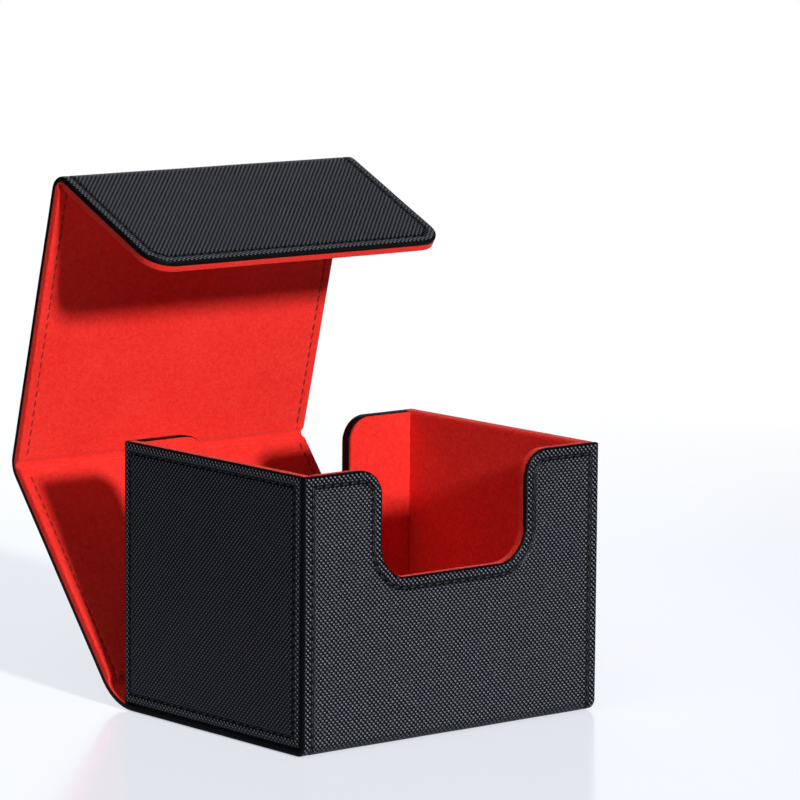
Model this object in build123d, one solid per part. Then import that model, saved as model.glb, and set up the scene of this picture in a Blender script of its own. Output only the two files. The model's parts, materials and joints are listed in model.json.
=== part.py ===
from build123d import *
import os
from math import acos, degrees, radians, tan, sin, cos

# Card deck box: a board tray for cards in landscape, and a lid of three stiff panels.
# One strip of black leatherette is the front wall and the base, and goes on behind the tray as the
# back panel, the top panel and the front flap. Red suede lines the tray and the inside of the lid.
# Millimetres, +Z up, the front looks along -Y, and the origin is the middle of the base on the table.
# The lid is drawn standing open. Each layer is its own solid, in the order skin, board, lining.

# ---- driving dimensions ----
WIDTH = 106.0
DEPTH = 82.0
HEIGHT = 77.0

SKIN = 1.0
LINING = 0.8
WALL_BOARD = 2.2
BASE_BOARD = 1.0
LID_BOARD = 1.8
HEM_WIDTH = 4.0
BEND_RADIUS = 3.3
WALL_CORNER_RADIUS = 1.4
FRONT_BOARD_FOOT = 3.5
BASE_BOARD_START = 3.5

CUT_HALF_WIDTH = 26.0
CUT_DEPTH = 31.0
CUT_FLOOR_RADIUS = 9.5
CUT_TOP_RADIUS = 7.5

BACK_GAP = 2.0
TOP_GAP = 0.9
FLAP_GAP = 0.5
FLAP_REACH = 51.3
FLAP_CORNER_RADIUS = 8.0
FOLD_LINE_DEPTH = 1.2
LINING_WALL_GAP = 0.2

# Each strip's turn from straight up, towards the front, with the lid standing open.
BASE_TURN = -90.0
BACK_TURN = -38.8
TOP_TURN = 14.2
FLAP_TURN = 115.4

# How far each fold's soft part runs from its fold line onto the panels on both sides.
BASE_FOLD_RUN = 8.1
TOP_FOLD_RUN = 2.9
FLAP_FOLD_RUN = 4.2

MAGNET_RADIUS = 5.0
MAGNET_THICK = 1.2
MAGNET_X = 30.0
MAGNET_HEIGHT = 37.5

# ---- sizes that follow ----
WALL = SKIN + WALL_BOARD + LINING
LID = SKIN + LID_BOARD + LINING
BELOW_LINE = LID - FOLD_LINE_DEPTH
HALF_WIDTH = WIDTH / 2
INNER_HALF_WIDTH = HALF_WIDTH - WALL
FRONT = -DEPTH / 2
BACK = DEPTH / 2
FLOOR_FOOT = SKIN + BASE_BOARD
FLOOR_TOP = FLOOR_FOOT + WALL_BOARD
HINGE_Y = BACK + BACK_GAP + BELOW_LINE
WRAP_END = HINGE_Y - BASE_FOLD_RUN
BACK_LENGTH = HEIGHT + TOP_GAP + BELOW_LINE - FOLD_LINE_DEPTH
TOP_LENGTH = HINGE_Y + BELOW_LINE - FRONT + FLAP_GAP


def along(turn):
    """The way a strip runs, from its fold line to the next."""
    return Vector(0, -sin(radians(turn)), cos(radians(turn)))


def outward(turn):
    """The way a strip's black side faces."""
    return Vector(0, cos(radians(turn)), sin(radians(turn)))


BASE_PIVOT = Vector(0, HINGE_Y, FOLD_LINE_DEPTH)
TOP_PIVOT = BASE_PIVOT + along(BACK_TURN) * BACK_LENGTH
FLAP_PIVOT = TOP_PIVOT + along(TOP_TURN) * TOP_LENGTH


# ---- shapes ----
def block(x0, x1, y0, y1, z0, z1):
    """A plain block between six planes."""
    middle = Pos((x0 + x1) / 2, (y0 + y1) / 2, (z0 + z1) / 2)
    return middle * Box(x1 - x0, y1 - y0, z1 - z0)


def notched_face(half_width, foot, inset):
    """A wall's outline in X and Z with the thumb cut-out, its top edge drawn in by inset."""
    top = HEIGHT - inset
    side = CUT_HALF_WIDTH + inset
    sill = HEIGHT - CUT_DEPTH - inset
    right = [(half_width, foot), (half_width, top), (side, top), (side, sill)]
    left = [(-x, z) for x, z in reversed(right)]
    face = make_face(Polyline(*right, *left, close=True))
    sill_corners = face.vertices().filter_by(lambda v: abs(v.Y - sill) < 0.01)
    face = fillet(sill_corners, CUT_FLOOR_RADIUS + inset)
    top_corners = face.vertices().filter_by(lambda v: v.Y > top - 0.01 and abs(v.X) < half_width - 1)
    return fillet(top_corners, CUT_TOP_RADIUS - inset)


def notched_wall(half_width, foot, inset, y0, y1):
    """The notched outline made a slab from y0 back to y1."""
    plane = Plane(origin=(0, y1, 0), x_dir=(1, 0, 0), z_dir=(0, -1, 0))
    return extrude(plane * notched_face(half_width, foot, inset), y1 - y0)


def rounded_side(x0, x1, y0, y1, z0, z1, radius):
    """A slab across X whose lower front corner is rounded."""
    face = Pos((y0 + y1) / 2, (z0 + z1) / 2) * Rectangle(y1 - y0, z1 - z0)
    corner = face.vertices().filter_by(lambda v: v.X < y0 + 0.01 and v.Y < z0 + 0.01)
    return extrude(Plane.YZ.offset(x0) * fillet(corner, radius), x1 - x0)


def wrap_layer(x0, x1, depth, thick):
    """Front wall, bend and base of one layer, depth below the outside of the strip."""
    outer = rounded_side(x0, x1, FRONT + depth, WRAP_END, depth, HEIGHT, BEND_RADIUS - depth)
    under = depth + thick
    return outer - rounded_side(x0, x1, FRONT + under, WRAP_END, under, HEIGHT, BEND_RADIUS - under)


def lid_slab(pivot, turn, start, end, half_width, depth, thick, corner_radius=0.0):
    """One layer of a lid panel, depth below its black face, with its far corners rounded."""
    level = FOLD_LINE_DEPTH - depth - thick
    plane = Plane(origin=pivot + outward(turn) * level, x_dir=along(turn), z_dir=outward(turn))
    face = Pos((start + end) / 2, 0) * Rectangle(end - start, 2 * half_width)
    if corner_radius:
        face = fillet(face.vertices().filter_by(lambda v: v.X > end - 0.01), corner_radius)
    return extrude(plane * face, thick)


def fold_bend(pivot, turn_in, turn_out, run, depth, thick, clear_y=None):
    """One layer of a fold: part of a ring, tangent to both panels, depth below the black side."""
    half_tan = tan(radians(turn_out - turn_in) / 2)
    radius = run / half_tan + FOLD_LINE_DEPTH
    centre = pivot - along(turn_in) * run + outward(turn_in) * (FOLD_LINE_DEPTH - radius)
    outer = radius - depth
    inner = outer - thick
    start = turn_in if clear_y is None else -degrees(acos((clear_y - centre.Y) / inner))
    middle = (centre.Y, centre.Z)
    outer_arc = CenterArc(middle, outer, start, turn_out - start)
    inner_arc = CenterArc(middle, inner, start, turn_out - start)
    ends = Line(outer_arc @ 0, inner_arc @ 0) + Line(outer_arc @ 1, inner_arc @ 1)
    face = make_face(outer_arc + inner_arc + ends)
    return extrude(Plane.YZ.offset(-HALF_WIDTH) * face, WIDTH)


# ---- the strip's front wall and base, with the hems turned in along its sides ----
def wrap_parts():
    skin = wrap_layer(-HALF_WIDTH, HALF_WIDTH, 0, SKIN)
    for x0 in (-HALF_WIDTH, HALF_WIDTH - HEM_WIDTH):
        skin += wrap_layer(x0, x0 + HEM_WIDTH, SKIN, SKIN)
    skin &= notched_wall(HALF_WIDTH, 0, 0, FRONT, WRAP_END)

    board_front = FRONT + SKIN
    lining_front = board_front + WALL_BOARD
    board = notched_wall(INNER_HALF_WIDTH, FRONT_BOARD_FOOT, LINING, board_front, lining_front)
    lining = notched_wall(INNER_HALF_WIDTH, FRONT_BOARD_FOOT, 0, board_front, FRONT + WALL) - board

    magnets = Part()
    for x in (-MAGNET_X, MAGNET_X):
        plane = Plane(origin=(x, board_front, MAGNET_HEIGHT), z_dir=(0, 1, 0))
        magnets += extrude(plane * Circle(MAGNET_RADIUS), MAGNET_THICK)

    base_board = block(-INNER_HALF_WIDTH, INNER_HALF_WIDTH, FRONT + BASE_BOARD_START, BACK - WALL,
                       SKIN, FLOOR_FOOT)
    return {
        "wrap_skin": skin,
        "base_board": base_board,
        "front_board": board - magnets,
        "front_lining": lining,
        "front_magnets": magnets,
    }


# ---- the tray's side walls: skin turned round the back edge, lining turned over the top ----
def side_wall(side):
    front = FRONT + 2 * SKIN
    board_back = BACK - SKIN
    board_outside = HALF_WIDTH - SKIN
    lining_face = INNER_HALF_WIDTH + LINING

    def slab(x0, x1, y1, z1):
        near, far = sorted((side * x0, side * x1))
        return rounded_side(near, far, front, y1, FLOOR_FOOT, z1, WALL_CORNER_RADIUS)

    core = slab(INNER_HALF_WIDTH, board_outside, board_back, HEIGHT)
    board = slab(lining_face, board_outside, board_back, HEIGHT - LINING)
    return slab(INNER_HALF_WIDTH, HALF_WIDTH, BACK, HEIGHT) - core, board, core - board


# ---- the tray's back wall: skin turned over its top edge, lining on the inner face alone ----
def back_wall():
    board_back = BACK - SKIN
    board_front = board_back - WALL_BOARD
    board = notched_wall(INNER_HALF_WIDTH, FLOOR_FOOT, SKIN, board_front, board_back)
    skin = notched_wall(INNER_HALF_WIDTH, FLOOR_FOOT, 0, board_front, BACK) - board
    lining = notched_wall(INNER_HALF_WIDTH, FLOOR_FOOT, 0, BACK - WALL, board_front)
    return skin, board, lining


def tray_parts():
    parts = {}
    walls = {"left": side_wall(-1), "right": side_wall(1), "back": back_wall()}
    for name, layers in walls.items():
        for layer, solid in zip(("skin", "board", "lining"), layers):
            parts[f"{name}_wall_{layer}"] = solid
    floor = (-INNER_HALF_WIDTH, INNER_HALF_WIDTH, FRONT + WALL, BACK - WALL)
    parts["floor_board"] = block(*floor, FLOOR_FOOT, FLOOR_TOP)
    parts["floor_lining"] = block(*floor, FLOOR_TOP, FLOOR_TOP + LINING)
    return parts


# ---- the lid's panels: the lining is turned round the board's free edges ----
def lid_panel(pivot, turn, start, end, corner_radius=0.0):
    inset = LINING if corner_radius else 0.0
    skin = lid_slab(pivot, turn, start, end, HALF_WIDTH, 0, SKIN, corner_radius)
    board = lid_slab(pivot, turn, start, end - inset, HALF_WIDTH - LINING, SKIN, LID_BOARD,
                     max(corner_radius - inset, 0))
    core = lid_slab(pivot, turn, start, end, HALF_WIDTH, SKIN, LID_BOARD + LINING, corner_radius)
    return skin, board, core - board


def flap_magnets():
    """Two discs at the inner face of the flap's board, over the front wall's pair when shut."""
    reach = FOLD_LINE_DEPTH + BACK_LENGTH - MAGNET_HEIGHT
    level = FOLD_LINE_DEPTH - SKIN - LID_BOARD
    magnets = Part()
    for x in (-MAGNET_X, MAGNET_X):
        spot = FLAP_PIVOT + along(FLAP_TURN) * reach + outward(FLAP_TURN) * level + Vector(x, 0, 0)
        plane = Plane(origin=spot, z_dir=outward(FLAP_TURN))
        magnets += extrude(plane * Circle(MAGNET_RADIUS), MAGNET_THICK)
    return magnets


def lid_parts():
    parts = {}
    panels = {
        "back_panel": lid_panel(BASE_PIVOT, BACK_TURN, BASE_FOLD_RUN, BACK_LENGTH - TOP_FOLD_RUN),
        "top_panel": lid_panel(TOP_PIVOT, TOP_TURN, TOP_FOLD_RUN, TOP_LENGTH - FLAP_FOLD_RUN),
        "flap": lid_panel(FLAP_PIVOT, FLAP_TURN, FLAP_FOLD_RUN, FLAP_REACH, FLAP_CORNER_RADIUS),
    }
    for name, layers in panels.items():
        for layer, solid in zip(("skin", "board", "lining"), layers):
            parts[f"{name}_{layer}"] = solid
    parts["flap_magnets"] = flap_magnets()
    parts["flap_board"] -= parts["flap_magnets"]
    return parts


# ---- the soft folds between the panels ----
def fold_parts():
    folds = {
        "base_fold": (BASE_PIVOT, BASE_TURN, BACK_TURN, BASE_FOLD_RUN, BACK + LINING_WALL_GAP),
        "top_fold": (TOP_PIVOT, BACK_TURN, TOP_TURN, TOP_FOLD_RUN, None),
        "flap_fold": (FLAP_PIVOT, TOP_TURN, FLAP_TURN, FLAP_FOLD_RUN, None),
    }
    parts = {}
    for name, (pivot, turn_in, turn_out, run, clear_y) in folds.items():
        parts[f"{name}_skin"] = fold_bend(pivot, turn_in, turn_out, run, 0, SKIN)
        parts[f"{name}_lining"] = fold_bend(pivot, turn_in, turn_out, run, SKIN, LINING, clear_y)
    return parts


os.makedirs("parts", exist_ok=True)
for name, shape in {**wrap_parts(), **tray_parts(), **lid_parts(), **fold_parts()}.items():
    export_step(shape, f"parts/{name}.step")

for name, pivot in (("base", BASE_PIVOT), ("top", TOP_PIVOT), ("flap", FLAP_PIVOT)):
    print(f"{name} fold line: y {pivot.Y:.3f} z {pivot.Z:.3f}")
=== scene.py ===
import json
from math import atan2, ceil, cos, hypot, pi, radians, sin, sqrt, tan

import bmesh
import bpy
from mathutils import Matrix, Vector, noise
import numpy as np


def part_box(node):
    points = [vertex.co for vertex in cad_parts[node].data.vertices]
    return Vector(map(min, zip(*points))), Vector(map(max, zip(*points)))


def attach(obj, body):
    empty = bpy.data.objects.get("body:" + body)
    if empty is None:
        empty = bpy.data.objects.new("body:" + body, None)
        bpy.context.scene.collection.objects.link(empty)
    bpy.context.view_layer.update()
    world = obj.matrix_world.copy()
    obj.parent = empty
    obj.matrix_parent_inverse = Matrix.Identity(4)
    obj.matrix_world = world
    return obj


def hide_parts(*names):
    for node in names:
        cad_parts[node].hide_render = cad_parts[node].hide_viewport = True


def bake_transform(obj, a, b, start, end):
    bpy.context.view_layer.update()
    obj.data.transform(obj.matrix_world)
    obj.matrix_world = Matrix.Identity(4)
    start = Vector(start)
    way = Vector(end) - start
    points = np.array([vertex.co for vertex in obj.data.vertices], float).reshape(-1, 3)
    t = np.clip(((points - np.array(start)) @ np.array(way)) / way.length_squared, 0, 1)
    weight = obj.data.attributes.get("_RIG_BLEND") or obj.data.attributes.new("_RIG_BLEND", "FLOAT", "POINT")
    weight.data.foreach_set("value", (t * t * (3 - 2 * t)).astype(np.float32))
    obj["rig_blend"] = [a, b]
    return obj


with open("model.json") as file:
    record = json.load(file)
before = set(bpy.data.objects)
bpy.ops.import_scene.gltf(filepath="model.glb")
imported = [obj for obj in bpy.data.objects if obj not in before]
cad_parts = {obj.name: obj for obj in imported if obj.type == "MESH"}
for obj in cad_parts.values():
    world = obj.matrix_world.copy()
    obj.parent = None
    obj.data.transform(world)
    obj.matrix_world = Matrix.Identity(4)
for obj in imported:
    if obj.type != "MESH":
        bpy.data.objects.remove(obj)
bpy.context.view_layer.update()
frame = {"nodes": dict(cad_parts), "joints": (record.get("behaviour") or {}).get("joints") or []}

# Card deck box: black woven leatherette over board, lined with red suede, with a wrap-round lid.
# Every sheet is cut flat in millimetres, as (across, along, out of the face), then laid on its wall
# or rolled round the strip's folds, and scaled to metres.

MM = 0.001

# ---- sizes, from the frame ----
def box_mm(node):
    """A node's lowest and highest corners, in millimetres."""
    return [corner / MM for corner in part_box(node)]


wrap_low, wrap_high = box_mm("wrap_skin")
side_low, side_high = box_mm("left_wall_skin")
floor_low, floor_high = box_mm("floor_lining")
HALF_WIDTH = wrap_high.x
FRONT = wrap_low.y
TOP = wrap_high.z
WRAP_END = wrap_high.y
SIDE_FRONT = side_low.y
BACK = side_high.y
FOOT = side_low.z
INNER_HALF_WIDTH = floor_high.x
PIVOT = {j["name"]: Vector((j["pos_m"][1], j["pos_m"][2])) / MM for j in frame["joints"]}

# ---- layers and make, in millimetres and radians ----
SKIN = 1.0
LINING = 0.8
WALL_BOARD = 2.2
LID_BOARD = 1.8
WALL = SKIN + WALL_BOARD + LINING
LID = SKIN + LID_BOARD + LINING
HEM_WIDTH = 4.0
BEND_RADIUS = 3.3
FRONT_LINING_FOOT = 3.5
CUT_HALF_WIDTH = 26.0
CUT_DEPTH = 31.0
CUT_FLOOR_RADIUS = 9.5
CUT_TOP_RADIUS = 7.5
CUT_STEPS = 10
CORNER_RADIUS = 0.6
TIGHTEST_RADIUS = 0.15
FLAP_TURN = radians(115.4)
FLAP_REACH = 51.3
FLAP_CORNER_RADIUS = 8.0
FOLD_LINE_DEPTH = 1.2
FOLD_RUN = {"base_fold": 8.1, "top_fold": 2.9, "flap_fold": 4.2}
FOLD_MARGIN = 0.5
SEAM_INSET = 3.0
STITCH_PITCH = 3.0

# ---- rims, as (inset from the edge, drop below the face), from the edge inwards ----
# The channel that the stitches pull in, and the flat beyond it.
CHANNEL_STEPS = [(-0.7, 0.0), (-0.4, 0.16), (0.0, 0.38), (0.4, 0.16), (0.7, 0.0), (1.3, 0.0)]
CHANNEL = [(SEAM_INSET + step, drop) for step, drop in CHANNEL_STEPS]
# The strip's cut edge is painted and a little thicker, and stands just proud of the suede under it.
LIP = [(0.0, -0.45), (0.8, -0.45), (1.0, 0.0)]
LIP_STEP = 0.12
# The grain is flattened this near a cut edge or the seam, and comes back over the fade; its painted
# highlight fades out with it.
# On the turned rim it runs the other way, and in the middle of the rim it stands up and gets a stronger
# painted highlight.
PRESSED_EDGE = 0.2
EDGE_FADE = 0.3
PRESSED_SEAM = 0.25
SEAM_FADE = 0.35
TURNED_RIM = (0.5, 2.7)
RIM_HIGHLIGHT_SPAN = (0.6, 2.4)


def rounded(across, drop, steps):
    """A quarter ellipse from the edge of a slab up to its face."""
    angles = [pi / 2 * i / steps for i in range(steps + 1)]
    return [(across * (1 - cos(a)), drop * (1 - sin(a))) for a in angles]


STRIP_RIM = rounded(0.8, 0.4, 4) + CHANNEL
WALL_RIM = rounded(1.7, 0.75, 5) + CHANNEL
SUEDE_SEAM_RIM = rounded(0.8, 0.45, 4) + CHANNEL
SUEDE_RIM = rounded(1.0, 0.8, 4) + [(1.8, 0.0)]
HEM_RIM = rounded(0.9, 0.85, 4) + [(1.4, 0.0)]
BACK_INNER_RIM = rounded(0.3, 0.3, 2) + [(1.0, 0.0)]
BACK_SUEDE_RIM = rounded(0.45, 0.5, 3) + [(1.4, 0.0)]
FLOOR_RIM = [(0.0, 0.2), (0.4, 0.0), (1.0, 0.0)]
PLAIN_RIM = [(0.0, 0.0)]


# ---- the strip's path: front wall, base, back panel, top panel, flap ----
def along(turn):
    """The way the strip runs, turned from straight up towards the front."""
    return Vector((-sin(turn), cos(turn)))


def outward(turn):
    """The way its black side faces."""
    return Vector((cos(turn), sin(turn)))


class Strip:
    """The outside of the leatherette strip in Y and Z, measured from the front wall's top edge."""

    def __init__(self, point, turn):
        self.runs = []
        self.point = point
        self.turn = turn
        self.length = 0.0

    def straight(self, length):
        self.runs.append((self.length, self.point, self.turn, None))
        self.point = self.point + along(self.turn) * length
        self.length += length

    def bend(self, turn, radius):
        """Rolls on to a new turn, and gives the stretch that the bend takes."""
        start = self.length
        self.runs.append((start, self.point, self.turn, radius))
        centre = self.point - outward(self.turn) * radius
        self.length += radius * (turn - self.turn)
        self.point = centre + outward(turn) * radius
        self.turn = turn
        return start, self.length

    def place(self, distance):
        """The point and the turn at a distance along the strip."""
        start, point, turn, radius = self.runs[0]
        for run in self.runs:
            if run[0] <= distance:
                start, point, turn, radius = run
        if radius is None:
            return point + along(turn) * (distance - start), turn
        here = turn + (distance - start) / radius
        return point + (outward(here) - outward(turn)) * radius, here


def turn_between(a, b):
    return atan2(a.x - b.x, b.y - a.y)


def fold_radius(name, angle):
    return FOLD_RUN[name] / tan(angle / 2) + FOLD_LINE_DEPTH


def lay_strip():
    """The whole path, and the stretch of it that each bend takes."""
    base, top, flap = (PIVOT[name] for name in FOLD_RUN)
    turns = [turn_between(base, top), turn_between(top, flap), FLAP_TURN]
    path = Strip(Vector((FRONT, TOP)), -pi)
    path.straight(TOP - BEND_RADIUS)
    bends = {"front_bend": path.bend(-pi / 2, BEND_RADIUS)}
    path.straight(WRAP_END - FRONT - BEND_RADIUS)
    lengths = [(top - base).length, (flap - top).length, FLAP_REACH]
    runs = list(FOLD_RUN.values()) + [0.0]
    for i, name in enumerate(FOLD_RUN):
        bends[name] = path.bend(turns[i], fold_radius(name, turns[i] - path.turn))
        path.straight(lengths[i] - runs[i] - runs[i + 1])
    return path, bends


STRIP, BENDS = lay_strip()


# ---- flat outlines ----
def arc(centre, radius, start, end, steps=8):
    """Points round an arc, angles in degrees."""
    angles = [radians(start + (end - start) * i / steps) for i in range(steps + 1)]
    return [(centre[0] + radius * cos(a), centre[1] + radius * sin(a)) for a in angles]


def outline(half_width, top, foot, inset=0.0, notch=False, foot_radius=CORNER_RADIUS):
    """A wall or panel's outline, anticlockwise from its lower left, drawn in by inset."""
    side, high, low = half_width - inset, top - inset, foot + inset
    r_foot = max(foot_radius - inset, TIGHTEST_RADIUS)
    r_top = max(CORNER_RADIUS - inset, TIGHTEST_RADIUS)
    points = arc((-side + r_foot, low + r_foot), r_foot, 180, 270)
    points += arc((side - r_foot, low + r_foot), r_foot, 270, 360)
    points += arc((side - r_top, high - r_top), r_top, 0, 90)
    if notch:
        cut = CUT_HALF_WIDTH + inset
        sill = top - CUT_DEPTH - inset
        r_lip = CUT_TOP_RADIUS - inset
        r_sill = CUT_FLOOR_RADIUS + inset
        points += arc((cut + r_lip, high - r_lip), r_lip, 90, 180, CUT_STEPS)
        points += arc((cut - r_sill, sill + r_sill), r_sill, 0, -90, CUT_STEPS)
        points += arc((-cut + r_sill, sill + r_sill), r_sill, -90, -180, CUT_STEPS)
        points += arc((-cut - r_lip, high - r_lip), r_lip, 0, 90, CUT_STEPS)
    points += arc((-side + r_top, high - r_top), r_top, 90, 180)
    return points


# ---- flat sheets ----
def pressing_and_rim_highlight(inset):
    """How far the grain is flattened, from 1 for flat to -1 for standing up with a painted highlight on the
    rim.
    """
    edge = 1 - (inset - PRESSED_EDGE) / EDGE_FADE
    channel = 1 - (abs(inset - SEAM_INSET) - PRESSED_SEAM) / SEAM_FADE
    # The middle of the turned rim is marked -1 for a painted highlight there.
    rim_highlight = -1.0 if RIM_HIGHLIGHT_SPAN[0] < inset < RIM_HIGHLIGHT_SPAN[1] else 0.0
    return min(max(edge, channel, rim_highlight), 1.0)


def press(bm, face, shape, rim, level, out):
    """Steps a face inwards along a rim. out is 1 for the upper face and -1 for the lower one."""
    flat = bm.verts.layers.float["pressing_and_rim_highlight"]
    turned = bm.faces.layers.int["turned"]
    for (inset0, _), (inset1, drop1) in zip(rim, rim[1:]):
        made = bmesh.ops.extrude_face_region(bm, geom=[face])["geom"]
        bmesh.ops.delete(bm, geom=[face], context="FACES_ONLY")
        face = next(g for g in made if isinstance(g, bmesh.types.BMFace))
        moves = list(zip(shape(inset0), shape(inset1)))
        for vert in face.verts:
            x, y, _ = vert.co
            _, new = min(moves, key=lambda move: (move[0][0] - x) ** 2 + (move[0][1] - y) ** 2)
            vert.co = (*new, level - out * drop1)
            vert[flat] = pressing_and_rim_highlight(inset1)
        on_rim = TURNED_RIM[0] < (inset0 + inset1) / 2 < TURNED_RIM[1]
        for edge in face.edges:
            for side in edge.link_faces:
                side[turned] = on_rim and side is not face
    return face


def slab(shape, upper, lower, upper_rim=PLAIN_RIM, lower_rim=PLAIN_RIM, pocket=None):
    """A closed slab; shape gives its outline drawn in by an inset.

    pocket is (margin, depth) of a board's recess in its upper face.
    """
    bm = bmesh.new()
    flat = bm.verts.layers.float.new("pressing_and_rim_highlight")
    bm.faces.layers.int.new("turned")
    ring = [bm.verts.new((u, v, lower + lower_rim[0][1])) for u, v in shape(0.0)]
    for vert in ring:
        vert[flat] = 1.0
    under = bm.faces.new(ring)
    made = bmesh.ops.extrude_face_region(bm, geom=[under])["geom"]
    over = next(g for g in made if isinstance(g, bmesh.types.BMFace))
    height = upper - upper_rim[0][1] - lower - lower_rim[0][1]
    bmesh.ops.translate(bm, verts=over.verts[:], vec=(0, 0, height))
    over = press(bm, over, shape, upper_rim, upper, 1)
    press(bm, under, shape, lower_rim, lower, -1)
    if pocket:
        margin, depth = pocket
        press(bm, over, shape, [(0.0, 0.0), (margin, 0.0), (margin, depth)], upper, 1)
    bmesh.ops.recalc_face_normals(bm, faces=bm.faces[:])
    return bm


def everything(bm):
    return bm.verts[:] + bm.edges[:] + bm.faces[:]


def trim(bm, axis, at, keep):
    """Cuts a sheet straight across at a place, keeps the side that keep points to, and closes the cut."""
    where, normal = Vector((0, 0, 0)), Vector((0, 0, 0))
    where[axis] = at
    normal[axis] = -keep
    cut = bmesh.ops.bisect_plane(
        bm, geom=everything(bm), plane_co=where, plane_no=normal, clear_outer=True
    )
    edges = [g for g in cut["geom_cut"] if isinstance(g, bmesh.types.BMEdge)]
    bmesh.ops.holes_fill(bm, edges=edges, sides=0)


def rule(bm, axis, places):
    """Adds lines across a sheet, so that it can bend or ripple there."""
    for at in places:
        where, normal = Vector((0, 0, 0)), Vector((0, 0, 0))
        where[axis] = at
        normal[axis] = 1
        bmesh.ops.bisect_plane(bm, geom=everything(bm), plane_co=where, plane_no=normal, dist=1e-4)


def steps_between(low, high, step):
    """Evenly spaced places inside a stretch, about a step apart."""
    count = max(1, ceil((high - low) / step))
    return [low + (high - low) * i / count for i in range(1, count)]


RIPPLE = 0.1
RIPPLE_LENGTH = 26.0
STRIP_SEED = 1.0
WALL_SEED = {"left": 1.0, "right": 3.0, "back": 5.0, "front": STRIP_SEED, "floor": 9.0}


def ripple(bm, seed):
    """Lets a sheet wander very slightly out of flat, as glued leatherette does."""
    for vert in bm.verts:
        u, v, w = vert.co
        wave = noise.noise(Vector((u / RIPPLE_LENGTH, v / RIPPLE_LENGTH, seed)))
        vert.co.z = w + RIPPLE * wave


def mark_weave(bm):
    """Writes the flat sheet's own place as its UV map, in metres, with its sides unrolled.

    The grain runs the other way on the turned rim, outside the stitches.
    """
    bm.normal_update()
    layer = bm.loops.layers.uv.new("weave")
    turned = bm.faces.layers.int["turned"]
    for face in bm.faces:
        way = -1 if face[turned] else 1
        for loop in face.loops:
            u, v, w = loop.vert.co
            out = loop.vert.normal
            loop[layer].uv = (way * (u - out.x * w) * MM, (v - out.y * w) * MM)


def add_in(bm, other):
    """Moves another sheet's faces into this one."""
    mesh = bpy.data.meshes.new("joined")
    other.to_mesh(mesh)
    other.free()
    bm.from_mesh(mesh)
    bpy.data.meshes.remove(mesh)


def roll(bm):
    """Rolls a flat sheet round the strip's bends. Its along axis runs back from the front wall's top."""
    for vert in bm.verts:
        u, v, w = vert.co
        point, turn = STRIP.place(-v)
        point = point + outward(turn) * w
        vert.co = Vector((u, point.x, point.y)) * MM


def stand(bm, origin, across, up):
    """Lays a flat sheet on a wall: across and up are its own axes, seen from outside."""
    across, up = Vector(across), Vector(up)
    turn = Matrix((across, up, across.cross(up))).transposed().to_4x4()
    place = Matrix.Translation(Vector(origin) * MM) @ turn @ Matrix.Diagonal((MM, MM, MM, 1))
    bmesh.ops.transform(bm, matrix=place, verts=bm.verts[:])


SIDE_MIDDLE = (SIDE_FRONT + BACK) / 2
FLOOR_MIDDLE = (floor_low.y + floor_high.y) / 2
# Where each flat piece's origin goes, the middle of a wall's top edge or of the floor, and the ways
# that its across and its up point.
WALL_PLACES = {
    "left": ((-HALF_WIDTH, SIDE_MIDDLE, TOP), (0, -1, 0), (0, 0, 1)),
    "right": ((HALF_WIDTH, SIDE_MIDDLE, TOP), (0, 1, 0), (0, 0, 1)),
    "back": ((0, BACK, TOP), (-1, 0, 0), (0, 0, 1)),
    "front": ((0, FRONT, TOP), (1, 0, 0), (0, 0, 1)),
    "floor": ((0, FLOOR_MIDDLE, floor_high.z), (1, 0, 0), (0, 1, 0)),
}
SHARP_CORNER = radians(38)


def show(name, bm, material):
    """Makes the finished object, smooth but for its real corners."""
    mesh = bpy.data.meshes.new(name)
    bm.to_mesh(mesh)
    bm.free()
    mesh.shade_smooth()
    mesh.set_sharp_from_angle(angle=SHARP_CORNER)
    mesh.materials.append(material)
    obj = bpy.data.objects.new(name, mesh)
    bpy.context.scene.collection.objects.link(obj)
    return obj


def piece(name, bm, material, slot, *nodes):
    """A finished piece with its material, in place of the nodes that it replaces. The slot is not used."""
    obj = show(name, bm, material)
    if nodes:
        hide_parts(*nodes)
    return obj


# ---- materials ----
class Wire:
    """A shader value. Arithmetic on it adds Math nodes."""

    def __init__(self, nodes, socket):
        self.nodes = nodes
        self.socket = socket

    def also(self, out):
        """Another output of the same node."""
        return Wire(self.nodes, self.socket.node.outputs[out])

    def __add__(self, other):
        return self.nodes.math("ADD", self, other)

    def __sub__(self, other):
        return self.nodes.math("SUBTRACT", self, other)

    def __rsub__(self, other):
        return self.nodes.math("SUBTRACT", other, self)

    def __mul__(self, other):
        return self.nodes.math("MULTIPLY", self, other)

    def __pow__(self, other):
        return self.nodes.math("POWER", self, other)

    __radd__ = __add__
    __rmul__ = __mul__

    def cosine(self):
        return self.nodes.math("COSINE", self)

    def clamped(self):
        return self.nodes.math("MINIMUM", self.nodes.math("MAXIMUM", self, 0.0), 1.0)


class Nodes:
    """A node tree, and the one way that nodes are added to it."""

    def __init__(self, tree):
        self.tree = tree

    def node(self, kind, settings=None, values=None, out=0):
        made = self.tree.nodes.new(kind)
        for key, value in (settings or {}).items():
            setattr(made, key, value)
        self.fill(made, values or {})
        return Wire(self, made.outputs[out])

    def fill(self, node, values):
        for key, value in values.items():
            if isinstance(value, Wire):
                self.tree.links.new(value.socket, node.inputs[key])
            else:
                node.inputs[key].default_value = value

    def math(self, operation, *values):
        return self.node("ShaderNodeMath", {"operation": operation}, dict(enumerate(values)))


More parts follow.
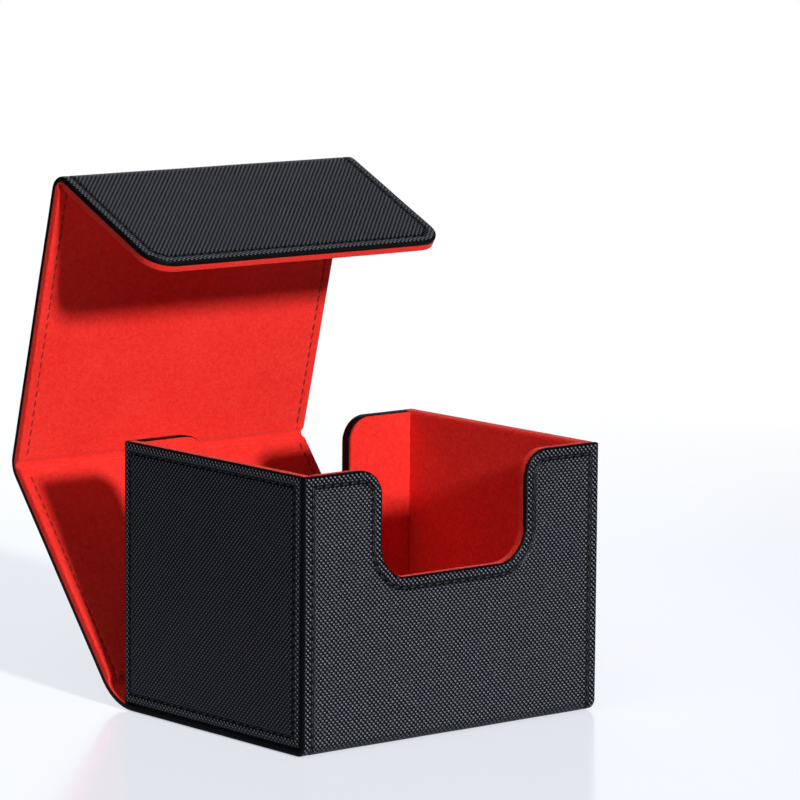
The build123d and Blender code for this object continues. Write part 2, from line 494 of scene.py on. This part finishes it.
class Paint(Nodes):
    """A new material, with the textures that these finishes are made from."""

    def __init__(self, name):
        self.material = bpy.data.materials.new(name)
        self.material.use_nodes = True
        super().__init__(self.material.node_tree)

    def finish(self, **values):
        shader = self.tree.nodes["Principled BSDF"]
        self.fill(shader, {key.replace("_", " "): value for key, value in values.items()})
        return self.material

    def place(self):
        return self.node("ShaderNodeTexCoord", out="Object")

    def noise(self, vector, scale, detail=2.0, roughness=0.5):
        values = {"Vector": vector, "Scale": scale, "Detail": detail, "Roughness": roughness}
        return self.node("ShaderNodeTexNoise", {"noise_dimensions": "3D"}, values)

    def mix(self, factor, a, b):
        values = {0: factor, 6: (*a, 1), 7: (*b, 1)}
        return self.node("ShaderNodeMix", {"data_type": "RGBA"}, values, out=2)

    def bump(self, height, distance):
        return self.node("ShaderNodeBump", {}, {"Height": height, "Distance": distance})


GRAIN_PITCH = 1.06 * MM
GRAIN_HEIGHT = 0.22 * MM


def leatherette():
    """Black imitation leather, embossed with slanting rows of short raised grains whose tops get a painted
    highlight.
    """
    paint = Paint("black_leatherette")
    uv = paint.node("ShaderNodeUVMap", {"uv_map": "weave"})
    wander = paint.noise(uv, 240.0, 2.0)
    u = paint.node("ShaderNodeSeparateXYZ", {}, {"Vector": uv}, out="X")
    v = u.also("Y")
    wave = 2 * pi / GRAIN_PITCH / sqrt(2)
    drift = (wander - 0.5) * 0.9
    rows = ((v - u) * wave + drift).cosine()
    grains = ((v + u) * wave + drift * 1.4).cosine()
    ridge = (rows * 0.5 + 0.5) ** 0.9
    bead = (grains * 0.5 + 0.5) ** 0.8
    height = ridge * (bead * 0.62 + 0.38)
    speck = paint.noise(uv, 1500.0, 1.0)
    patch = paint.noise(uv, 45.0, 3.0)
    mark = paint.node("ShaderNodeAttribute", {"attribute_name": "pressing_and_rim_highlight"}, out="Fac")
    flat = mark.clamped()
    # Painted highlight on the rim: where the mark is below zero, the grain tops are coloured lighter, in
    # place of the light that the rounded rim catches.
    rim_highlight = (mark * -1.0).clamped()
    grain = 1.0 - flat * 0.9
    raised = (height * 1.45 + (speck - 0.5) * 0.25 - 0.25).clamped() * grain
    # Painted highlight: the grain tops are coloured lighter than the near-black hollows, in place of the
    # glints that they catch from the lamp.
    light = raised ** 3.0 * (rim_highlight * 0.25 + 0.29)
    color = paint.mix(light, (0.0002, 0.0003, 0.0011), (0.44, 0.47, 0.6))
    rough = 0.24 + raised * 0.1 + flat * 0.3 + (patch - 0.5) * 0.08
    bumped = paint.bump(height * grain + speck * 0.08, GRAIN_HEIGHT)
    return paint.finish(
        Base_Color=color,
        Roughness=rough,
        Normal=bumped,
        Specular_IOR_Level=0.17,
        Specular_Tint=(0.93, 0.96, 1.0, 1.0),
    )


def suede():
    """Bright red microsuede: a short mottled nap with a soft bloom."""
    paint = Paint("red_suede")
    place = paint.place()
    nap = paint.noise(place, 2600.0, 2.0, 0.6)
    tuft = paint.noise(place, 700.0, 3.0, 0.6)
    brushed = paint.noise(place, 40.0, 3.0, 0.55)
    shade = (nap * 1.1 + tuft * 0.8 + brushed * 0.5 - 0.68).clamped()
    color = paint.mix(shade, (0.76, 0.004, 0.003), (1.0, 0.052, 0.036))
    bumped = paint.bump(nap * 0.9 + tuft, 0.32 * MM)
    return paint.finish(
        Base_Color=color,
        Roughness=0.92,
        Normal=bumped,
        Specular_IOR_Level=0.2,
        Sheen_Weight=0.5,
        Sheen_Roughness=0.4,
        Sheen_Tint=(1.0, 0.2, 0.17, 1.0),
    )


def thread(name, dark, light, rough):
    """Twisted sewing thread."""
    paint = Paint(name)
    place = paint.place()
    fuzz = paint.noise(place, 3000.0, 2.0)
    return paint.finish(
        Base_Color=paint.mix(fuzz, dark, light),
        Roughness=rough,
        Normal=paint.bump(fuzz, 0.08 * MM),
    )


def greyboard():
    """Grey binder's board with fibres in it."""
    paint = Paint("grey_board")
    place = paint.place()
    fibre = paint.noise(place, 900.0, 4.0, 0.65)
    color = paint.mix(fibre, (0.2, 0.18, 0.15), (0.42, 0.39, 0.34))
    return paint.finish(Base_Color=color, Roughness=0.9, Normal=paint.bump(fibre, 0.1 * MM))


def nickel():
    """Nickel plating, with a fine brushed unevenness."""
    paint = Paint("nickel_plate")
    place = paint.place()
    smear = paint.noise(place, 400.0, 3.0)
    color = paint.mix(smear, (0.52, 0.5, 0.47), (0.68, 0.66, 0.62))
    return paint.finish(Base_Color=color, Metallic=1.0, Roughness=smear * 0.2 + 0.18)


LEATHER = leatherette()
SUEDE = suede()
BLACK_THREAD = thread("black_thread", (0.003, 0.003, 0.004), (0.014, 0.014, 0.017), 0.55)
RED_THREAD = thread("dark_red_thread", (0.14, 0.002, 0.002), (0.32, 0.008, 0.006), 0.7)


# ---- stitches ----
STITCH_HALF_LENGTH = 1.12
STITCH_HALF_WIDTH = 0.3
STITCH_HALF_HEIGHT = 0.22
STITCH_SLANT = radians(7)
STITCH_SINK = 0.24


def stitch_places(points):
    """Evenly spaced (across, along, direction) round a closed line."""
    edges = list(zip(points, points[1:] + points[:1]))
    lengths = [hypot(b[0] - a[0], b[1] - a[1]) for a, b in edges]
    total = sum(lengths)
    count = round(total / STITCH_PITCH)
    places, walked, i = [], 0.0, 0
    for k in range(count):
        target = (k + 0.5) * total / count
        while walked + lengths[i] < target:
            walked += lengths[i]
            i += 1
        (u0, v0), (u1, v1) = edges[i]
        share = (target - walked) / lengths[i]
        places.append((u0 + (u1 - u0) * share, v0 + (v1 - v0) * share, atan2(v1 - v0, u1 - u0)))
    return places


def stitch_mesh(places, level):
    """One slightly slanting bead of thread at each place, centred on a level."""
    bm = bmesh.new()
    size = Matrix.Diagonal((STITCH_HALF_HEIGHT, STITCH_HALF_WIDTH, STITCH_HALF_LENGTH, 1))
    lie = Matrix.Rotation(pi / 2, 4, "Y")
    for u, v, way in places:
        put = Matrix.Translation((u, v, level)) @ Matrix.Rotation(way + STITCH_SLANT, 4, "Z")
        bmesh.ops.create_uvsphere(bm, u_segments=8, v_segments=6, radius=1, matrix=put @ lie @ size)
    return bm


# ---- the strip, cut into what each body carries ----
FOLD_BODIES = {
    "base_fold": ("tray", "back_panel"),
    "top_fold": ("back_panel", "top_panel"),
    "flap_fold": ("top_panel", "flap"),
}
BODY = {"wrap": "tray", "back_panel": "back_panel", "top_panel": "top_panel", "flap": "flap"}


def divide_strip():
    """Where each panel and each fold between two panels starts and ends along the strip."""
    stretches, panel, start = {}, "wrap", 0.0
    for fold, (_, next_panel) in FOLD_BODIES.items():
        fold_start, fold_end = BENDS[fold][0] - FOLD_MARGIN, BENDS[fold][1] + FOLD_MARGIN
        stretches[panel] = (start, fold_start)
        stretches[fold] = (fold_start, fold_end)
        panel, start = next_panel, fold_end
    stretches[panel] = (start, STRIP.length)
    return stretches


STRETCHES = divide_strip()
LID_STRETCHES = [name for name in STRETCHES if name != "wrap"]
FOLD_STEP = 0.7
FRONT_BEND_STEP = 0.45
PANEL_STEP = 7.0


def bend_rows(name):
    """The lines across a stretch at which it has to bend or ripple."""
    if name in FOLD_BODIES:
        bend = BENDS[name]
        return [-s for s in (*bend, *steps_between(*bend, FOLD_STEP))]
    rows = [-s for s in steps_between(*STRETCHES[name], PANEL_STEP)]
    if name == "wrap":
        bend = BENDS["front_bend"]
        rows += [-s for s in (*bend, *steps_between(*bend, FRONT_BEND_STEP))]
    return rows


def cut_stretch(sheet, name):
    """A copy of the flat strip, cut to one stretch and ruled where it bends."""
    bm = sheet.copy()
    start, end = STRETCHES[name]
    if start > 0:
        trim(bm, 1, -start, -1)
    if end < STRIP.length:
        trim(bm, 1, -end, 1)
    rule(bm, 1, bend_rows(name))
    rule(bm, 0, steps_between(-HALF_WIDTH, HALF_WIDTH, PANEL_STEP))
    return bm


def join_on(obj, name, inside):
    """Lets a piece ride on its panel, or bend from one panel to the next at a fold."""
    if name not in FOLD_BODIES:
        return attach(obj, BODY[name])
    ends = []
    for distance in BENDS[name]:
        point, turn = STRIP.place(distance)
        point = point - outward(turn) * inside
        ends.append((0.0, point.x * MM, point.y * MM))
    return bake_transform(obj, *FOLD_BODIES[name], *ends)


def wrap_round(bm, stretch, inside, name, material, slot, *nodes):
    """Finishes a flat piece of the strip: ripples it, rolls it round the bends and joins it on."""
    ripple(bm, STRIP_SEED)
    if material is LEATHER:
        mark_weave(bm)
    roll(bm)
    join_on(piece(name, bm, material, slot, *nodes), stretch, inside)


def strip_shape(inset):
    """The whole strip laid flat."""
    return outline(
        HALF_WIDTH, 0.0, -STRIP.length, inset, notch=True, foot_radius=FLAP_CORNER_RADIUS
    )


def make_strip_leather():
    sheet = slab(strip_shape, 0.0, -SKIN, upper_rim=STRIP_RIM, lower_rim=LIP)
    for name in STRETCHES:
        bm = cut_stretch(sheet, name)
        if name == "wrap":
            add_hems(bm)
        wrap_round(
            bm, name, FOLD_LINE_DEPTH, f"{name}_leather", LEATHER, "leatherette", f"{name}_skin"
        )
    sheet.free()


def add_hems(bm):
    """The strip's side edges turned in under it, along the front wall and the base."""
    length = STRETCHES["wrap"][1]
    for side in (-1, 1):
        middle = side * (HALF_WIDTH - HEM_WIDTH / 2)

        def shape(inset):
            return [(middle + u, v) for u, v in outline(HEM_WIDTH / 2, 0.0, -length, inset)]

        hem = slab(shape, -SKIN, -2 * SKIN, lower_rim=HEM_RIM)
        rule(hem, 1, bend_rows("wrap"))
        add_in(bm, hem)


# How much of its thickness the lining keeps in each fold, and how long it takes to get there.
FOLD_LINING_SHARE = {"base_fold": 0.31, "top_fold": 0.5, "flap_fold": 0.42}
CHEEK = {"base_fold": 3.6, "top_fold": 2.9, "flap_fold": 3.2}


def thin_at_fold(bm, name):
    """Lets the lining drop over the boards' edges and lie on the leatherette in the fold."""
    start, end = BENDS[name]
    for vert in bm.verts:
        distance = -vert.co.y
        reach = [(end - distance) / CHEEK[name]]
        if name != "base_fold":
            reach.append((distance - start) / CHEEK[name])
        share = min(max(min(reach), 0.0), 1.0)
        share = share * share * (3 - 2 * share)
        keep = 1 - share * (1 - FOLD_LINING_SHARE[name])
        vert.co.z = -SKIN + (vert.co.z + SKIN) * keep


# The base fold's lining starts this far behind the tray's back wall.
BASE_FOLD_CLEARANCE = 0.1


def make_lid_suede():
    start = BENDS["base_fold"][0]

    def shape(inset):
        return outline(
            HALF_WIDTH, -start, -STRIP.length, inset + LIP_STEP, foot_radius=FLAP_CORNER_RADIUS
        )

    pocket = (LINING, LID_BOARD)
    panels = slab(shape, -SKIN, -LID, lower_rim=SUEDE_SEAM_RIM, pocket=pocket)
    folds = slab(shape, -SKIN, -LID, lower_rim=SUEDE_SEAM_RIM)
    for name in LID_STRETCHES:
        bm = cut_stretch(folds if name in FOLD_BODIES else panels, name)
        if name == "base_fold":
            trim(bm, 1, -(start + BACK - WRAP_END + BASE_FOLD_CLEARANCE), -1)
        if name in FOLD_BODIES:
            thin_at_fold(bm, name)
        wrap_round(bm, name, LID, f"{name}_suede", SUEDE, "suede", f"{name}_lining")
    panels.free()
    folds.free()


def make_strip_stitches():
    """The seam runs all round the strip, black outside and dark red on the lid's lining."""
    places = stitch_places(strip_shape(SEAM_INSET))
    for name, (start, end) in STRETCHES.items():
        here = [place for place in places if start <= -place[1] < end]
        sides = [("outer", -STITCH_SINK, BLACK_THREAD, "leatherette", FOLD_LINE_DEPTH)]
        if name in BODY and name != "wrap":
            sides.append(("inner", -LID + STITCH_SINK, RED_THREAD, "suede", LID))
        for side, level, material, slot, inside in sides:
            bm = stitch_mesh(here, level)
            wrap_round(bm, name, inside, f"{name}_{side}_stitches", material, slot)


# ---- the tray ----
# A lining is cut this much too large, then trimmed square at its ends and its foot.
TRIM_ALLOWANCE = 2.0
BACK_SUEDE_STEP = 0.3
BACK_SUEDE_SINK = 0.2
SIDE_HALF = (BACK - SIDE_FRONT) / 2
WALL_FOOT = FOOT - TOP


def rule_wall(bm, half_width, foot, top=0.0):
    rule(bm, 0, steps_between(-half_width, half_width, PANEL_STEP))
    rule(bm, 1, steps_between(foot, top, PANEL_STEP))


def trim_wall(bm, left, right, foot):
    trim(bm, 0, left, 1)
    trim(bm, 0, right, -1)
    trim(bm, 1, foot, 1)


def hang(bm, wall, name, material, slot, *nodes):
    """Finishes a flat piece of the tray: ripples it and lays it on its wall or the floor."""
    ripple(bm, WALL_SEED[wall])
    if material is LEATHER:
        mark_weave(bm)
    stand(bm, *WALL_PLACES[wall])
    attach(piece(name, bm, material, slot, *nodes), "tray")


def hang_stitches(wall, shape):
    seam = stitch_mesh(stitch_places(shape(SEAM_INSET)), -STITCH_SINK)
    hang(seam, wall, f"{wall}_wall_stitches", BLACK_THREAD, "leatherette")


def make_side_wall(side, back_way):
    """A side wall's leather, lining and seam.

    back_way is 1 or -1 for the hand that its back edge is on, seen from outside. The leather is
    turned in there, over the lining's end.
    """

    def shape(inset):
        return outline(SIDE_HALF, 0.0, WALL_FOOT, inset)

    def turn_in_shape(inset):
        middle = back_way * (SIDE_HALF - SKIN / 2)
        return [(u + middle, v) for u, v in outline(SKIN / 2, 0.0, WALL_FOOT, inset)]

    def lining_shape(inset):
        return outline(SIDE_HALF + TRIM_ALLOWANCE, 0.0, WALL_FOOT - TRIM_ALLOWANCE, inset)

    leather = slab(shape, 0.0, -SKIN, upper_rim=WALL_RIM)
    rule_wall(leather, SIDE_HALF, WALL_FOOT)
    add_in(leather, slab(turn_in_shape, -SKIN, -WALL))
    hang(leather, side, f"{side}_wall_leather", LEATHER, "leatherette", f"{side}_wall_skin")

    lining = slab(lining_shape, -SKIN, -WALL, lower_rim=SUEDE_RIM, pocket=(LINING, WALL_BOARD))
    left = -SIDE_HALF + (SKIN if back_way < 0 else 0.0)
    right = SIDE_HALF - (SKIN if back_way > 0 else 0.0)
    trim_wall(lining, left, right, WALL_FOOT)
    rule_wall(lining, SIDE_HALF, WALL_FOOT)
    hang(lining, side, f"{side}_wall_suede", SUEDE, "suede", f"{side}_wall_lining")

    hang_stitches(side, shape)


def make_back_wall():
    """The leather is as thick as skin and board together, so that the cut-out's edge is black."""

    def shape(inset):
        return outline(INNER_HALF_WIDTH, 0.0, WALL_FOOT, inset, notch=True)

    def lining_shape(inset):
        step = BACK_SUEDE_STEP
        return outline(INNER_HALF_WIDTH + step, 0.0, WALL_FOOT, inset + step, notch=True)

    depth = WALL - LINING
    leather = slab(shape, 0.0, -depth, upper_rim=STRIP_RIM, lower_rim=BACK_INNER_RIM)
    rule_wall(leather, INNER_HALF_WIDTH, WALL_FOOT)
    replaced = ("back_wall_skin", "back_wall_board")
    hang(leather, "back", "back_wall_leather", LEATHER, "leatherette", *replaced)

    lining = slab(lining_shape, -depth + BACK_SUEDE_SINK, -WALL, lower_rim=BACK_SUEDE_RIM)
    rule_wall(lining, INNER_HALF_WIDTH, WALL_FOOT)
    hang(lining, "back", "back_wall_suede", SUEDE, "suede", "back_wall_lining")

    hang_stitches("back", shape)


def make_front_suede():
    """The front wall's lining, turned over the board's top edge and round the thumb cut-out."""
    foot = FRONT_LINING_FOOT - TOP

    def shape(inset):
        half = INNER_HALF_WIDTH + TRIM_ALLOWANCE
        return outline(half, 0.0, foot - TRIM_ALLOWANCE, inset, notch=True)

    lining = slab(shape, -SKIN, -WALL, lower_rim=SUEDE_RIM, pocket=(LINING, WALL_BOARD))
    trim_wall(lining, -INNER_HALF_WIDTH, INNER_HALF_WIDTH, foot)
    rule_wall(lining, INNER_HALF_WIDTH, foot)
    hang(lining, "front", "front_suede", SUEDE, "suede", "front_lining")


def make_floor_suede():
    half_x = (floor_high.x - floor_low.x) / 2
    half_y = (floor_high.y - floor_low.y) / 2

    def shape(inset):
        return outline(half_x, half_y, -half_y, inset)

    lining = slab(shape, 0.0, -LINING, upper_rim=FLOOR_RIM)
    rule_wall(lining, half_x, -half_y, half_y)
    hang(lining, "floor", "floor_suede", SUEDE, "suede", "floor_lining")


def paint_hidden_parts():
    """The boards and magnets inside keep their CAD shape."""
    board, plate = greyboard(), nickel()
    for name, node in frame["nodes"].items():
        if name.endswith("board"):
            node.material_slots[0].material = board
        elif name.endswith("magnets"):
            node.material_slots[0].material = plate


# ---- stage, light and camera ----
CAMERA_PLACE = (-0.8559, -1.0439, 0.2847)
CAMERA_AZIMUTH = radians(-39.803)
CAMERA_ELEVATION = radians(8.253)
CAMERA_ROLL = radians(0.491)
CAMERA_LENS = 218.2


def looking(azimuth, elevation):
    """The turn of a camera or lamp that stands at an azimuth from the front and an elevation."""
    return Matrix.Rotation(azimuth, 4, "Z") @ Matrix.Rotation(pi / 2 - elevation, 4, "X")


def make_camera():
    data = bpy.data.cameras.new("camera")
    data.lens = CAMERA_LENS
    data.sensor_width = 36.0
    camera = bpy.data.objects.new("camera", data)
    aim = looking(CAMERA_AZIMUTH, CAMERA_ELEVATION)
    roll_over = Matrix.Rotation(CAMERA_ROLL, 4, "Z")
    camera.matrix_world = Matrix.Translation(CAMERA_PLACE) @ aim @ roll_over
    bpy.context.scene.collection.objects.link(camera)
    bpy.context.scene.camera = camera


FLOOR_REACH = 6.0
FLOOR_DROP = 0.2 * MM
# The floor fades out into the white room: it is gone this many metres from the box's middle.
FADE_END = 0.59375
FADE_RATE = 3.2


def make_stage():
    paint = Paint("pale_floor")
    away = paint.node("ShaderNodeVectorMath", {"operation": "LENGTH"}, {0: paint.place()}, out="Value")
    seen = paint.node("ShaderNodeLightPath", out="Is Camera Ray")
    floor_material = paint.finish(
        Base_Color=(0.62, 0.64, 0.68, 1.0),
        Roughness=0.16,
        Alpha=((FADE_END - away) * FADE_RATE).clamped(),
        Emission_Color=paint.mix(seen, (0.03, 0.03, 0.03), (0.52, 0.54, 0.58)),
        Emission_Strength=1.0,
    )
    bm = bmesh.new()
    drop = Matrix.Translation((0, 0, -FLOOR_DROP))
    bmesh.ops.create_grid(bm, x_segments=1, y_segments=1, size=FLOOR_REACH, matrix=drop)
    show("floor", bm, floor_material)


def add_sun(name, energy, spread, azimuth, elevation):
    """A soft lamp: its spread and where it stands are in degrees."""
    sun = bpy.data.lights.new(name, "SUN")
    sun.energy = energy
    sun.angle = radians(spread)
    lamp = bpy.data.objects.new(name, sun)
    lamp.matrix_world = looking(radians(azimuth), radians(elevation))
    bpy.context.scene.collection.objects.link(lamp)


def make_room():
    """White where the camera sees it, and a faint cool fill for everything else."""
    world = bpy.data.worlds.new("studio")
    world.use_nodes = True
    room = Nodes(world.node_tree)
    fill = {"Color": (0.92, 0.95, 1.0, 1.0), "Strength": 0.05}
    white = {"Color": (1.0, 1.0, 1.0, 1.0), "Strength": 1.0}
    parts = {
        0: room.node("ShaderNodeLightPath", out="Is Camera Ray"),
        1: room.node("ShaderNodeBackground", {}, fill),
        2: room.node("ShaderNodeBackground", {}, white),
    }
    shown = room.node("ShaderNodeMixShader", {}, parts)
    room.fill(world.node_tree.nodes["World Output"], {"Surface": shown})
    bpy.context.scene.world = world
    bpy.context.scene.view_settings.view_transform = "Standard"


make_camera()
make_strip_leather()
make_lid_suede()
make_strip_stitches()
make_side_wall("left", -1)
make_side_wall("right", 1)
make_back_wall()
make_front_suede()
make_floor_suede()
paint_hidden_parts()
make_stage()
add_sun("key", energy=3.3, spread=6.5, azimuth=-5, elevation=20)
add_sun("side_fill", energy=0.45, spread=50, azimuth=-70, elevation=50)
add_sun("back_fill", energy=0.3, spread=50, azimuth=155, elevation=26)
make_room()
